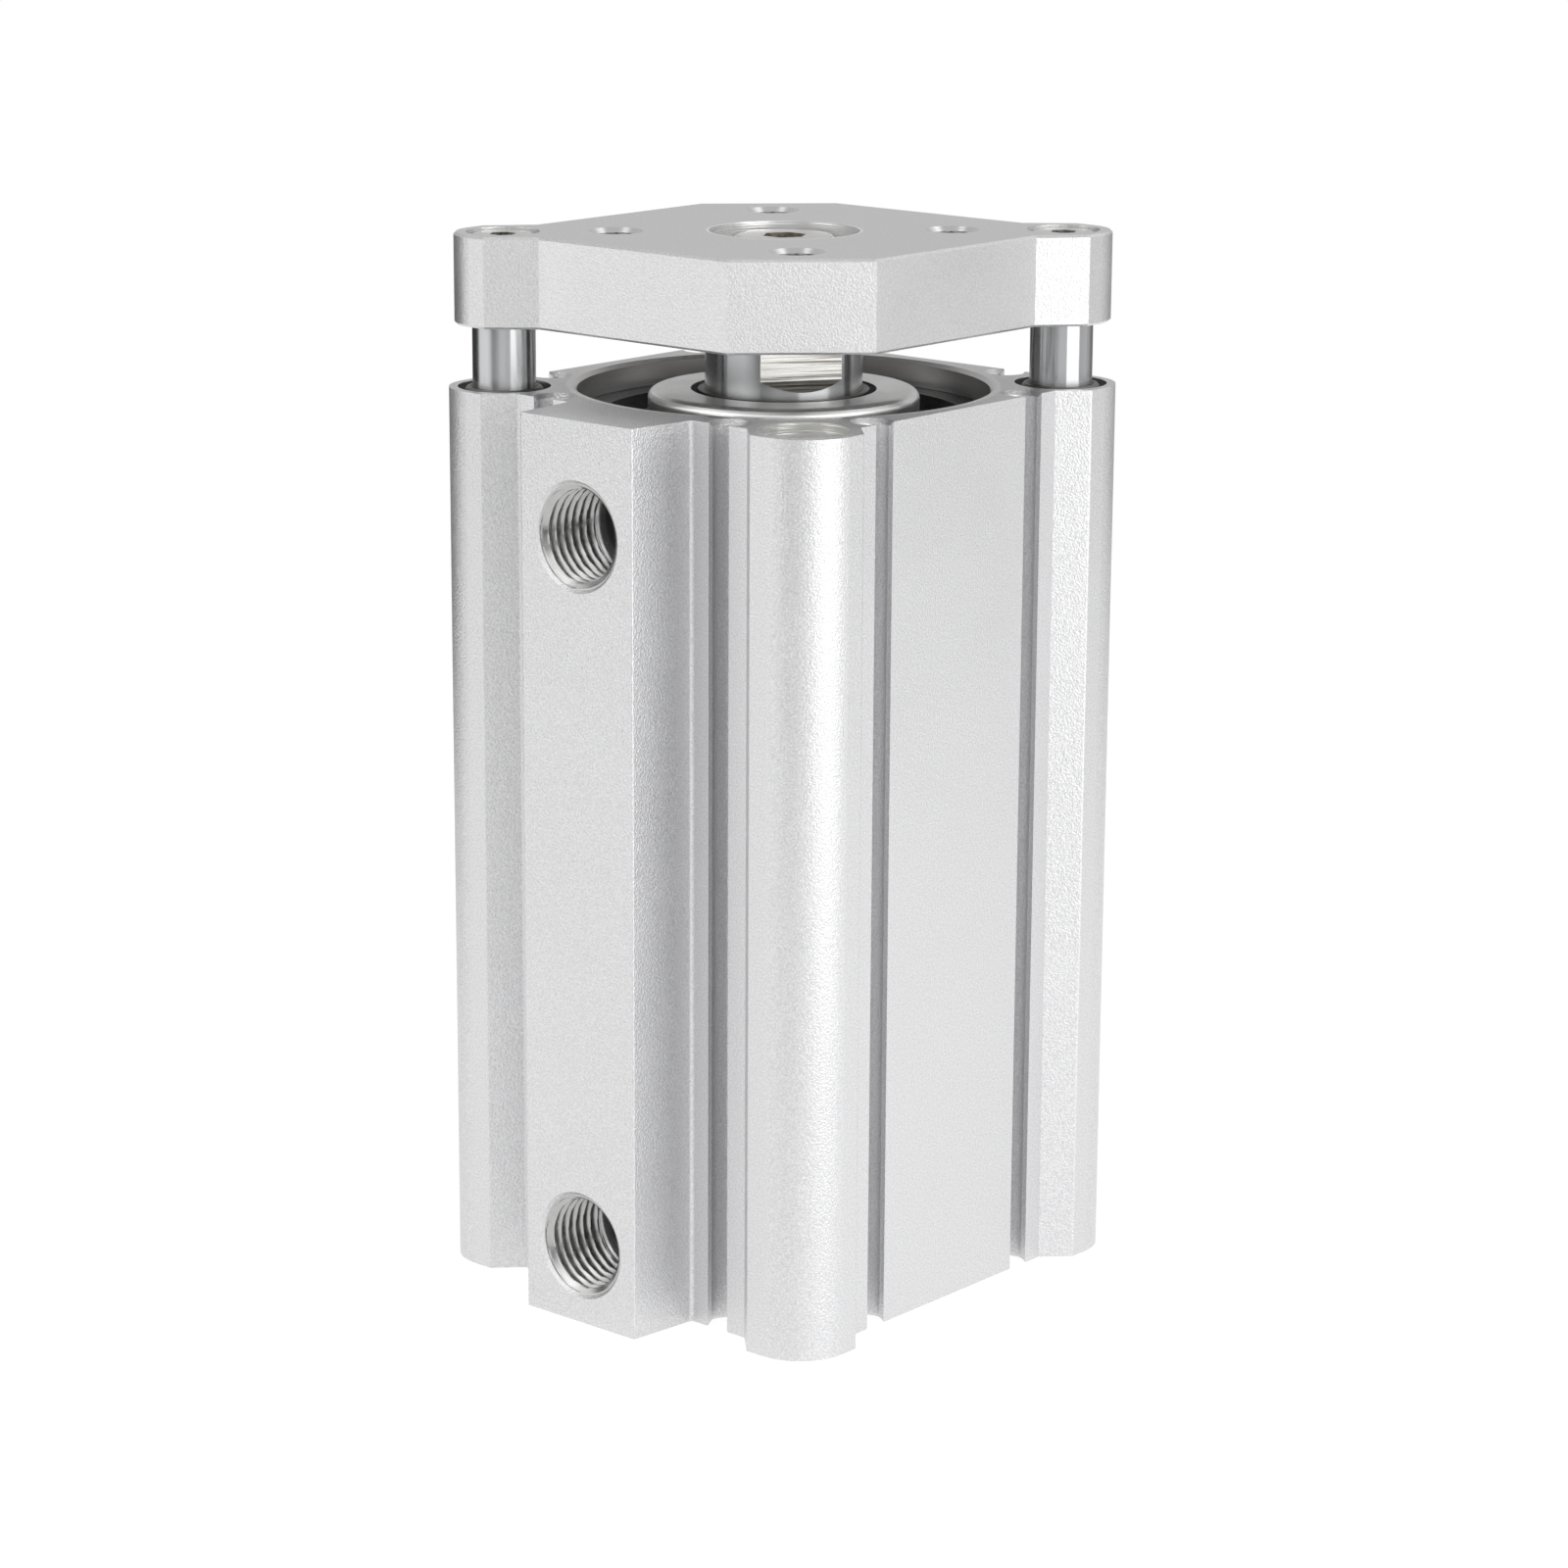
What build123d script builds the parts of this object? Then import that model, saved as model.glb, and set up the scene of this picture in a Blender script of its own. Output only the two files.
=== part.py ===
from build123d import *
import os
from math import radians, sin, sqrt

# Guided compact air cylinder, rod up and fully drawn in.
# The origin is on the rod's axis, in the middle of the flat foot of the tube. +Z is the way the
# rod moves, and both ports face -Y. The guide rods stand in the corners (-X, -Y) and (+X, +Y).
# All lengths are in millimetres.

# Working sizes
bore_diameter = 50.0
stroke = 75.0
rod_diameter = 20.0
guide_rod_diameter = 8.0

# Fits, each a gap on the radius unless it says otherwise
running_fit = 0.05            # rod in its bush, guide rod in its bush, wear ring and seal in the bore
free_gap = 0.35               # moving piece past a piece that doesn't guide it
seat_gap = 0.05               # piece in its seat, a face or a radius
thread_gap = 0.10             # screw shank in its tapped hole

# Heights in the tube, from the foot up
head_wall = 8.0               # closed end of the bore
bumper_stand = 0.5            # how far the bumpers hold the piston off both ends
piston_length = 18.5
cover_spigot_length = 5.0     # part of the rod cover that sits in the bore
cover_flange_thickness = 2.5
retaining_ring_thickness = 2.0
retaining_ring_depth = 3.5    # top of the ring below the top of the tube

# Cross-section of the tube
mouth_step = 1.25             # mouth of the bore is this much wider on the radius
mouth_chamfer = 0.5
face_wall = 2.5               # thinnest wall between mouth and side face
lobe_height = 3.25            # corner lobes stand out from the side faces
mount_hole_diameter = 6.6
mount_counterbore_diameter = 11.4
mount_counterbore_depth = 8.0
edge_wall = 1.3               # counterbore to the outside of a lobe, all the way round
lobe_inset = 2.65             # where a lobe's 45 degree side begins, inside its hole's centre
lobe_edge_round = 0.4

# Sensor grooves, two in each side
groove_spacing = 29.2
groove_mouth = 3.25
groove_radius = 2.1
groove_lip = 0.7
groove_end_chamfer = 0.6

# Port boss and ports
port_boss_height = 9.7
port_boss_width = 18.5
port_boss_foot_width = 20.4
port_boss_edge_round = 0.25
port_boss_foot_round = 0.6
port_thread_diameter = 13.157
port_thread_depth = 11.0
port_mouth_chamfer = 0.4
port_passage_diameter = 4.0
port_from_foot = 10.25
port_from_top = 14.3

# Rod cover and what it carries
cover_boss_diameter = 34.5
cover_boss_inset = 0.5        # top of the boss below the top of the tube
cover_boss_round = 1.2
cover_edge_chamfer = 1.5
rod_bush_wall = 0.9
rod_bush_length = 6.0
bush_seal_width = 0.9
bush_seal_height = 0.9
bush_seal_inset = 0.2
rod_seal_width = 3.5
rod_seal_height = 4.0
rod_seal_from_bottom = 1.5
gasket_thickness = 2.2        # of the rod cover's O-ring, as squeezed
bumper_from_bore = 4.0        # bumpers to the wall of the bore
bumper_width = 4.0
bumper_thickness = 2.5
stop_gap = 0.05               # bumper face to piston at either end of the stroke

# Retaining ring
ring_groove_depth = 1.2
ring_band_width = 4.4
ring_taper = 0.5              # the band is this much wider opposite its gap
ring_gap_angle = 22.0
ring_gap_direction = -49.0
ring_lug_radius = 3.0
ring_lug_hole_diameter = 2.5

# Guide bushes
guide_bush_wall = 1.0
guide_bush_length = 25.0
bush_chamfer = 0.3

# Piston
piston_relief = 3.0           # ends of the piston are thinner, so that air gets behind it
piston_relief_depth = 3.0
wear_ring_height = 3.0
wear_ring_thickness = 1.5
magnet_height = 3.5
magnet_thickness = 3.5
piston_seal_height = 3.0
piston_seal_thickness = 3.2
piston_land = 0.9
spigot_diameter = 12.0        # end of the rod that carries the piston
piston_gasket_thickness = 1.6

# Piston rod
rod_chamfer = 0.6
wrench_flats = 17.0           # across the flats
wrench_flats_direction = -34.4
wrench_flats_height = 6.3     # down to where the slope begins
wrench_flats_slope = 1.3      # height of the slope where a flat runs out

# End plate
plate_gap = 8.0               # tube to plate with the rod drawn in
plate_thickness = 11.5
plate_width = 53.4
plate_corner_cut = 57.4       # across the two cut corners
plate_edge_chamfer = 0.3
ear_radius = 6.2              # about the guide rod
ear_neck_inset = 7.8          # where the ear leaves the plate's side, inside the guide rod's centre
ear_shoulder_inset = 2.6
plate_hole_spacing = 30.0
plate_thread_diameter = 6.0
plate_thread_chamfer = 0.6
pilot_diameter = 19.0         # wide counterbore in the middle
rod_seat_depth = 2.0
guide_seat_depth = 2.5

# Low-head socket screws: M8 in the rod, M5 in the guide rods
rod_screw_diameter = 8.0
rod_screw_head_diameter = 13.0
rod_screw_head_height = 5.0
rod_screw_socket = 5.0
rod_screw_recess = 0.6
rod_screw_reach = 14.0        # thread length in the rod
guide_screw_diameter = 5.0
guide_screw_head_diameter = 8.5
guide_screw_head_height = 3.5
guide_screw_socket = 3.0
guide_screw_recess = 0.3
guide_screw_reach = 10.0
guide_counterbore_diameter = 9.3
screw_hole_gap = 0.25         # clearance hole round a screw, on the radius
socket_depth_share = 0.6      # depth of a socket against the height of its head
head_chamfer = 0.5
tap_runout = 3.0              # tapped hole goes this much deeper than its screw
guide_rod_end_gap = 10.0      # lower end of the guide rods above the foot
guide_rod_chamfer = 0.8

# Heights worked out from the sizes above
piston_bottom = head_wall + bumper_stand
piston_top = piston_bottom + piston_length
cover_bottom = piston_top + stroke + bumper_stand
cover_seat = cover_bottom + cover_spigot_length
flange_top = cover_seat + cover_flange_thickness
ring_top = flange_top + retaining_ring_thickness
body_height = ring_top + retaining_ring_depth
cover_top = body_height - cover_boss_inset
plate_bottom = body_height + plate_gap
plate_top = plate_bottom + plate_thickness

# Radii and distances from the axis
bore_radius = bore_diameter / 2
mouth_radius = bore_radius + mouth_step
rod_radius = rod_diameter / 2
guide_radius = guide_rod_diameter / 2
face_plane = mouth_radius + face_wall
body_half = face_plane + lobe_height
hole_centre = body_half - edge_wall - mount_counterbore_diameter / 2
corner_round = body_half - hole_centre
port_face = face_plane + port_boss_height
rod_bush_radius = rod_radius + rod_bush_wall
guide_bush_radius = guide_radius + guide_bush_wall
bumper_outer_radius = bore_radius - bumper_from_bore
bumper_inner_radius = bumper_outer_radius - bumper_width
bumper_depth = bumper_thickness - bumper_stand + stop_gap
rod_seal_bottom = cover_bottom + rod_seal_from_bottom
guide_rod_places = (("left", (-hole_centre, -hole_centre)), ("right", (hole_centre, hole_centre)))

os.makedirs("parts", exist_ok=True)


def keep(piece, name):
    """Label a finished piece and write it to its own file."""
    piece.label = name
    export_step(piece, f"parts/{name}.step")


# Tube: extruded section with corner lobes, sensor grooves and port boss
recess_half = hole_centre - lobe_inset
side_recess = [
    (face_plane, -recess_half + lobe_height),
    (face_plane, recess_half - lobe_height),
    (body_half + lobe_height, recess_half + lobe_height),
    (body_half + lobe_height, -recess_half - lobe_height),
]
groove_centre = face_plane - groove_lip - sqrt(groove_radius**2 - (groove_mouth / 2) ** 2)
groove_places = [(groove_centre, side * groove_spacing / 2) for side in (-1, 1)]
mouth_places = [(face_plane, side * groove_spacing / 2) for side in (-1, 1)]

with BuildSketch() as tube_section:
    RectangleRounded(2 * body_half, 2 * body_half, corner_round)
    with PolarLocations(0, 4):
        Polygon(*side_recess, align=None, mode=Mode.SUBTRACT)
    lobe_edges = [
        v
        for v in tube_section.vertices()
        if max(abs(v.X), abs(v.Y)) > body_half - seat_gap
        if min(abs(v.X), abs(v.Y)) < hole_centre - seat_gap
    ]
    fillet(lobe_edges, lobe_edge_round)
    Polygon(
        (-port_boss_foot_width / 2, -face_plane),
        (-port_boss_width / 2, -port_face),
        (port_boss_width / 2, -port_face),
        (port_boss_foot_width / 2, -face_plane),
        align=None,
    )
    boss_foot = [
        v
        for v in tube_section.vertices()
        if v.Y < 0 and abs(abs(v.X) - port_boss_foot_width / 2) < seat_gap
    ]
    fillet(boss_foot, port_boss_foot_round)
    fillet(tube_section.vertices().group_by(Axis.Y)[0], port_boss_edge_round)
    with PolarLocations(0, 4):
        with Locations(*groove_places):
            Circle(groove_radius, mode=Mode.SUBTRACT)
        with Locations(*mouth_places):
            Rectangle(2 * groove_lip + groove_radius, groove_mouth, mode=Mode.SUBTRACT)

# Stepped bore, as half of its section: floor with bumper groove, bore, seat, ring groove, mouth
bore_steps = [
    (0, head_wall),
    (bumper_inner_radius - seat_gap, head_wall),
    (bumper_inner_radius - seat_gap, head_wall - bumper_depth),
    (bumper_outer_radius + seat_gap, head_wall - bumper_depth),
    (bumper_outer_radius + seat_gap, head_wall),
    (bore_radius, head_wall),
    (bore_radius, cover_seat),
    (mouth_radius, cover_seat),
    (mouth_radius, flange_top),
    (mouth_radius + ring_groove_depth, flange_top),
    (mouth_radius + ring_groove_depth, ring_top + seat_gap),
    (mouth_radius, ring_top + seat_gap),
    (mouth_radius, body_height - mouth_chamfer),
    (mouth_radius + mouth_chamfer, body_height),
    (0, body_height),
]

with BuildPart() as cylinder_tube:
    add(tube_section.sketch)
    extrude(amount=body_height)
    with BuildSketch(Plane.XZ):
        Polygon(*bore_steps, align=None)
    revolve(axis=Axis.Z, mode=Mode.SUBTRACT)
    # Mounting holes, counterbored at both ends
    with Locations((hole_centre, -hole_centre, body_height), (-hole_centre, hole_centre, body_height)):
        CounterBoreHole(mount_hole_diameter / 2, mount_counterbore_diameter / 2, mount_counterbore_depth)
    with Locations((hole_centre, -hole_centre, 0), (-hole_centre, hole_centre, 0)):
        Cylinder(
            mount_counterbore_diameter / 2,
            mount_counterbore_depth,
            align=(Align.CENTER, Align.CENTER, Align.MIN),
            mode=Mode.SUBTRACT,
        )
    # Guide holes, wider at the top for the bush and its seal
    with Locations(*[(x, y, body_height) for side, (x, y) in guide_rod_places]):
        CounterBoreHole(guide_radius + free_gap, guide_bush_radius + seat_gap, guide_bush_length)
        Hole(guide_bush_radius + bush_seal_width, bush_seal_height + bush_seal_inset)
    # Ports: tapped mouth, then a narrow passage into the end of the bore
    for port_height in (port_from_foot, body_height - port_from_top):
        with Locations(Location((0, -port_face, port_height), (90, 0, 0))):
            CounterBoreHole(
                port_passage_diameter / 2,
                port_thread_diameter / 2,
                port_thread_depth,
                depth=port_face - bore_radius + port_passage_diameter / 2,
            )
            Cone(
                port_thread_diameter / 2,
                port_thread_diameter / 2 + port_mouth_chamfer,
                port_mouth_chamfer,
                align=(Align.CENTER, Align.CENTER, Align.MAX),
                mode=Mode.SUBTRACT,
            )
    # Chamfered ends of the sensor grooves
    with PolarLocations(0, 4):
        with Locations(*[(x, y, body_height) for x, y in groove_places]):
            Cone(
                groove_radius,
                groove_radius + groove_end_chamfer,
                groove_end_chamfer,
                align=(Align.CENTER, Align.CENTER, Align.MAX),
                mode=Mode.SUBTRACT,
            )
        with Locations(*groove_places):
            Cone(
                groove_radius + groove_end_chamfer,
                groove_radius,
                groove_end_chamfer,
                align=(Align.CENTER, Align.CENTER, Align.MIN),
                mode=Mode.SUBTRACT,
            )
keep(cylinder_tube.part, "cylinder_tube")

# Rod cover: spigot with O-ring groove, flange, and the boss that shows in the mouth of the tube
cover_radius = bore_radius - seat_gap
gasket_groove_bottom = cover_bottom + cover_edge_chamfer
cover_steps = [
    (rod_radius + free_gap, cover_bottom),
    (bumper_inner_radius - seat_gap, cover_bottom),
    (bumper_inner_radius - seat_gap, cover_bottom + bumper_depth),
    (bumper_outer_radius + seat_gap, cover_bottom + bumper_depth),
    (bumper_outer_radius + seat_gap, cover_bottom),
    (cover_radius - cover_edge_chamfer, cover_bottom),
    (cover_radius, gasket_groove_bottom),
    (bore_radius - gasket_thickness, gasket_groove_bottom),
    (bore_radius - gasket_thickness, gasket_groove_bottom + gasket_thickness),
    (cover_radius, gasket_groove_bottom + gasket_thickness),
    (cover_radius, cover_seat),
    (mouth_radius - seat_gap, cover_seat),
    (mouth_radius - seat_gap, flange_top),
    (cover_boss_diameter / 2, flange_top),
    (cover_boss_diameter / 2, cover_top),
    (rod_bush_radius + bush_seal_width, cover_top),
    (rod_bush_radius + bush_seal_width, cover_top - bush_seal_height - bush_seal_inset),
    (rod_bush_radius + seat_gap, cover_top - bush_seal_height - bush_seal_inset),
    (rod_bush_radius + seat_gap, cover_top - rod_bush_length),
    (rod_radius + free_gap, cover_top - rod_bush_length),
    (rod_radius + free_gap, rod_seal_bottom + rod_seal_height),
    (rod_radius + rod_seal_width, rod_seal_bottom + rod_seal_height),
    (rod_radius + rod_seal_width, rod_seal_bottom),
    (rod_radius + free_gap, rod_seal_bottom),
]

with BuildPart() as rod_cover:
    with BuildSketch(Plane.XZ) as cover_half:
        Polygon(*cover_steps, align=None)
        boss_rim = cover_half.vertices().group_by(Axis.Y)[-1].sort_by(Axis.X)[-1]
        fillet(boss_rim, cover_boss_round)
    revolve(axis=Axis.Z)
keep(rod_cover.part, "rod_cover")

# O-ring that seals the rod cover in the bore, squeezed square in its groove
with BuildPart() as cover_gasket:
    with BuildSketch(Plane.XY.offset(gasket_groove_bottom + seat_gap)):
        Circle(bore_radius - seat_gap)
        Circle(bore_radius - gasket_thickness + seat_gap, mode=Mode.SUBTRACT)
    extrude(amount=gasket_thickness - 2 * seat_gap)
keep(cover_gasket.part, "cover_gasket")

# Bush, lip seal and black seal ring round the piston rod
with BuildPart() as rod_bush:
    with BuildSketch(Plane.XY.offset(cover_top - rod_bush_length)):
        Circle(rod_bush_radius)
        Circle(rod_radius + running_fit, mode=Mode.SUBTRACT)
    extrude(amount=rod_bush_length)
keep(rod_bush.part, "rod_bush")

with BuildPart() as rod_bush_seal:
    with BuildSketch(Plane.XY.offset(cover_top - bush_seal_height - bush_seal_inset)):
        Circle(rod_bush_radius + bush_seal_width - seat_gap)
        Circle(rod_bush_radius + seat_gap, mode=Mode.SUBTRACT)
    extrude(amount=bush_seal_height)
keep(rod_bush_seal.part, "rod_bush_seal")

lip_height = rod_seal_height / 2
lip_flare = rod_seal_width / 3
with BuildPart() as rod_seal:
    with BuildSketch(Plane.XZ):
        Polygon(
            (rod_radius + running_fit, rod_seal_bottom + seat_gap),
            (rod_radius + lip_flare, rod_seal_bottom + seat_gap),
            (rod_radius + rod_seal_width / 2, rod_seal_bottom + lip_height),
            (rod_radius + rod_seal_width - lip_flare, rod_seal_bottom + seat_gap),
            (rod_radius + rod_seal_width - seat_gap, rod_seal_bottom + seat_gap),
            (rod_radius + rod_seal_width - seat_gap, rod_seal_bottom + rod_seal_height - seat_gap),
            (rod_radius + running_fit, rod_seal_bottom + rod_seal_height - seat_gap),
            align=None,
        )
    revolve(axis=Axis.Z)
keep(rod_seal.part, "rod_seal")

# Retaining ring: sprung band with two pierced lugs beside its gap
ring_outer_radius = mouth_radius + ring_groove_depth - seat_gap
ring_inner_radius = ring_outer_radius - ring_band_width
lug_centre_radius = ring_inner_radius + ring_taper - ring_lug_radius / 2
lug_angle = ring_gap_angle / 2
gap_half_width = lug_centre_radius * sin(radians(lug_angle)) - ring_lug_radius / 2
with BuildPart() as retaining_ring:
    with BuildSketch(Plane.XY.offset(flange_top).rotated((0, 0, ring_gap_direction))):
        Circle(ring_outer_radius)
        with Locations((ring_taper, 0)):
            Circle(ring_inner_radius, mode=Mode.SUBTRACT)
        with PolarLocations(lug_centre_radius, 2, start_angle=-lug_angle, angular_range=2 * lug_angle, endpoint=True):
            Circle(ring_lug_radius)
        with Locations((ring_outer_radius, 0)):
            Rectangle(2 * ring_outer_radius, 2 * gap_half_width, mode=Mode.SUBTRACT)
        with PolarLocations(lug_centre_radius, 2, start_angle=-lug_angle, angular_range=2 * lug_angle, endpoint=True):
            Circle(ring_lug_hole_diameter / 2, mode=Mode.SUBTRACT)
    extrude(amount=retaining_ring_thickness)
keep(retaining_ring.part, "retaining_ring")

# Bumpers: rubber rings that the piston meets at either end
for bumper_name, bumper_bottom in (
    ("head_bumper", head_wall - bumper_depth),
    ("rod_bumper", cover_bottom + bumper_depth - bumper_thickness),
):
    with BuildPart() as bumper:
        with BuildSketch(Plane.XY.offset(bumper_bottom)):
            Circle(bumper_outer_radius)
            Circle(bumper_inner_radius, mode=Mode.SUBTRACT)
        extrude(amount=bumper_thickness)
    keep(bumper.part, bumper_name)

# Piston: grooves for wear ring, magnet and seal, between thinner ends
piston_radius = bore_radius - free_gap
relief_radius = piston_radius - piston_relief_depth
wear_groove = piston_bottom + piston_relief + piston_land
magnet_groove = wear_groove + wear_ring_height + piston_land
seal_groove = magnet_groove + magnet_height + piston_land
spigot_radius = spigot_diameter / 2
piston_steps = [
    (spigot_radius + seat_gap, piston_bottom),
    (relief_radius, piston_bottom),
    (relief_radius, piston_bottom + piston_relief),
    (piston_radius, piston_bottom + piston_relief),
    (piston_radius, wear_groove),
    (bore_radius - wear_ring_thickness, wear_groove),
    (bore_radius - wear_ring_thickness, wear_groove + wear_ring_height),
    (piston_radius, wear_groove + wear_ring_height),
    (piston_radius, magnet_groove),
    (piston_radius - magnet_thickness, magnet_groove),
    (piston_radius - magnet_thickness, magnet_groove + magnet_height),
    (piston_radius, magnet_groove + magnet_height),
    (piston_radius, seal_groove),
    (bore_radius - piston_seal_thickness, seal_groove),
    (bore_radius - piston_seal_thickness, seal_groove + piston_seal_height),
    (piston_radius, seal_groove + piston_seal_height),
    (piston_radius, piston_top - piston_relief / 2),
    (relief_radius, piston_top - piston_relief / 2),
    (relief_radius, piston_top),
    (spigot_radius + piston_gasket_thickness, piston_top),
    (spigot_radius + piston_gasket_thickness, piston_top - piston_gasket_thickness),
    (spigot_radius + seat_gap, piston_top - piston_gasket_thickness),
]
with BuildPart() as piston:
    with BuildSketch(Plane.XZ):
        Polygon(*piston_steps, align=None)
    revolve(axis=Axis.Z)
keep(piston.part, "piston")

# Rings carried by the piston, each a band in its groove
for ring_name, outer, inner, bottom, height in (
    ("wear_ring", bore_radius - running_fit, bore_radius - wear_ring_thickness, wear_groove, wear_ring_height),
    ("magnet_ring", piston_radius, piston_radius - magnet_thickness, magnet_groove, magnet_height),
    ("piston_seal", bore_radius - running_fit, bore_radius - piston_seal_thickness, seal_groove, piston_seal_height),
):
    with BuildPart() as band:
        with BuildSketch(Plane.XY.offset(bottom + seat_gap)):
            Circle(outer)
            Circle(inner + seat_gap, mode=Mode.SUBTRACT)
        extrude(amount=height - 2 * seat_gap)
    keep(band.part, ring_name)

# O-ring under the rod's shoulder, which seals rod to piston, squeezed square in its groove
with BuildPart() as piston_gasket:
    with BuildSketch(Plane.XY.offset(piston_top - piston_gasket_thickness + seat_gap)):
        Circle(spigot_radius + piston_gasket_thickness - seat_gap)
        Circle(spigot_radius + seat_gap, mode=Mode.SUBTRACT)
    extrude(amount=piston_gasket_thickness - 2 * seat_gap)
keep(piston_gasket.part, "piston_gasket")

# Piston rod: spigot through the piston, wrench flats under the plate, tapped end
rod_top = plate_bottom + rod_seat_depth
rod_length = rod_top - piston_top
flats_bottom = plate_bottom - wrench_flats_height
flat_depth = rod_radius - wrench_flats / 2
flat_cut = [
    (wrench_flats / 2, plate_bottom),
    (wrench_flats / 2, flats_bottom),
    (rod_radius, flats_bottom - wrench_flats_slope),
    (rod_radius + flat_depth, flats_bottom - wrench_flats_slope),
    (rod_radius + flat_depth, plate_bottom),
]
with BuildPart() as piston_rod:
    with BuildSketch(Plane.XY.offset(piston_bottom)):
        Circle(spigot_radius)
    extrude(amount=piston_length)
    with BuildSketch(Plane.XY.offset(piston_top)):
        Circle(rod_radius)
    extrude(amount=rod_length)
    chamfer(piston_rod.edges().group_by(Axis.Z)[0], rod_chamfer)
    chamfer(piston_rod.edges().group_by(Axis.Z)[-1], rod_chamfer)
    with BuildSketch(Plane.XZ.rotated((0, 0, wrench_flats_direction))):
        for side in (-1, 1):
            Polygon(*[(side * x, z) for x, z in flat_cut], align=None)
    extrude(amount=rod_radius, both=True, mode=Mode.SUBTRACT)
    with Locations((0, 0, rod_top)):
        Hole(rod_screw_diameter / 2, rod_screw_reach + tap_runout)
keep(piston_rod.part, "piston_rod")

# End plate: square plate with two cut corners and an ear over each guide rod
ear_reach = hole_centre + ear_radius
ear_outline = [
    (plate_width / 2, hole_centre - ear_neck_inset),
    (ear_reach, hole_centre - ear_shoulder_inset),
    (ear_reach, hole_centre),
    (hole_centre, ear_reach),
    (hole_centre - ear_shoulder_inset, ear_reach),
    (hole_centre - ear_neck_inset, plate_width / 2),
]
pilot_depth = rod_screw_head_height + rod_screw_recess
guide_counterbore_depth = guide_screw_head_height + guide_screw_recess
with BuildPart() as end_plate:
    with BuildSketch(Plane.XY.offset(plate_bottom)):
        Rectangle(plate_width, plate_width)
        Rectangle(plate_corner_cut, 2 * plate_width, rotation=-45, mode=Mode.INTERSECT)
        for half_turn in (0, 180):
            Polygon(*ear_outline, rotation=half_turn, align=None)
        with Locations(*[place for side, place in guide_rod_places]):
            Circle(ear_radius)
    extrude(amount=plate_thickness)
    outer_edges = end_plate.faces().filter_by(Axis.Z).edges()
    chamfer(outer_edges, plate_edge_chamfer)
    with Locations((0, 0, plate_top)):
        CounterBoreHole(rod_screw_diameter / 2 + screw_hole_gap, pilot_diameter / 2, pilot_depth)
    with Locations(*[(x, y, plate_top) for side, (x, y) in guide_rod_places]):
        CounterBoreHole(
            guide_screw_diameter / 2 + screw_hole_gap,
            guide_counterbore_diameter / 2,
            guide_counterbore_depth,
        )
    with Locations((0, 0, plate_top)):
        with GridLocations(plate_hole_spacing, plate_hole_spacing, 2, 2):
            CounterSinkHole(
                plate_thread_diameter / 2,
                plate_thread_diameter / 2 + plate_thread_chamfer,
                counter_sink_angle=90,
            )
    # Seats of the rods, from below
    with BuildSketch(Plane.XY.offset(plate_bottom)):
        Circle(rod_radius + seat_gap)
    extrude(amount=rod_seat_depth, mode=Mode.SUBTRACT)
    with BuildSketch(Plane.XY.offset(plate_bottom)):
        with Locations(*[place for side, place in guide_rod_places]):
            Circle(guide_radius + seat_gap)
    extrude(amount=guide_seat_depth, mode=Mode.SUBTRACT)
keep(end_plate.part, "end_plate")


def socket_screw(place, seat, diameter, head_diameter, head_height, socket, length):
    """A low-head screw whose head stands on seat, with its shank going down."""
    with BuildPart() as screw:
        with BuildSketch(Plane.XY.offset(seat)):
            with Locations(place):
                Circle(head_diameter / 2)
        extrude(amount=head_height)
        chamfer(screw.edges().group_by(Axis.Z)[-1], head_chamfer)
        with BuildSketch(Plane.XY.offset(seat)):
            with Locations(place):
                Circle(diameter / 2 - thread_gap)
        extrude(amount=-length)
        with BuildSketch(Plane.XY.offset(seat + head_height)):
            with Locations(place):
                RegularPolygon(socket / 2, 6, major_radius=False)
        extrude(amount=-socket_depth_share * head_height, mode=Mode.SUBTRACT)
    return screw.part


# Screw that draws the plate onto the rod
rod_screw_seat = plate_top - pilot_depth
rod_end_screw = socket_screw(
    (0, 0),
    rod_screw_seat,
    rod_screw_diameter,
    rod_screw_head_diameter,
    rod_screw_head_height,
    rod_screw_socket,
    rod_screw_seat - rod_top + rod_screw_reach,
)
keep(rod_end_screw, "rod_end_screw")

# Each guide rod with its bush, its seal ring and its screw
guide_rod_top = plate_bottom + guide_seat_depth
guide_screw_seat = plate_top - guide_counterbore_depth
for side, place in guide_rod_places:
    with BuildPart() as guide_rod:
        with BuildSketch(Plane.XY.offset(guide_rod_end_gap)):
            with Locations(place):
                Circle(guide_radius)
        extrude(amount=guide_rod_top - guide_rod_end_gap)
        chamfer(guide_rod.edges().group_by(Axis.Z)[0], guide_rod_chamfer)
        with Locations((*place, guide_rod_top)):
            Hole(guide_screw_diameter / 2, guide_screw_reach + tap_runout)
    keep(guide_rod.part, f"guide_rod_{side}")

    with BuildPart() as guide_bush:
        with BuildSketch(Plane.XY.offset(body_height - guide_bush_length)):
            with Locations(place):
                Circle(guide_bush_radius)
                Circle(guide_radius + running_fit, mode=Mode.SUBTRACT)
        extrude(amount=guide_bush_length)
        chamfer(guide_bush.edges().group_by(Axis.Z)[-1], bush_chamfer)
    keep(guide_bush.part, f"guide_bush_{side}")

    with BuildPart() as guide_bush_seal:
        with BuildSketch(Plane.XY.offset(body_height - bush_seal_height - bush_seal_inset)):
            with Locations(place):
                Circle(guide_bush_radius + bush_seal_width - seat_gap)
                Circle(guide_bush_radius + seat_gap, mode=Mode.SUBTRACT)
        extrude(amount=bush_seal_height)
    keep(guide_bush_seal.part, f"guide_bush_seal_{side}")

    guide_screw = socket_screw(
        place,
        guide_screw_seat,
        guide_screw_diameter,
        guide_screw_head_diameter,
        guide_screw_head_height,
        guide_screw_socket,
        guide_screw_seat - guide_rod_top + guide_screw_reach,
    )
    keep(guide_screw, f"guide_screw_{side}")
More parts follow.
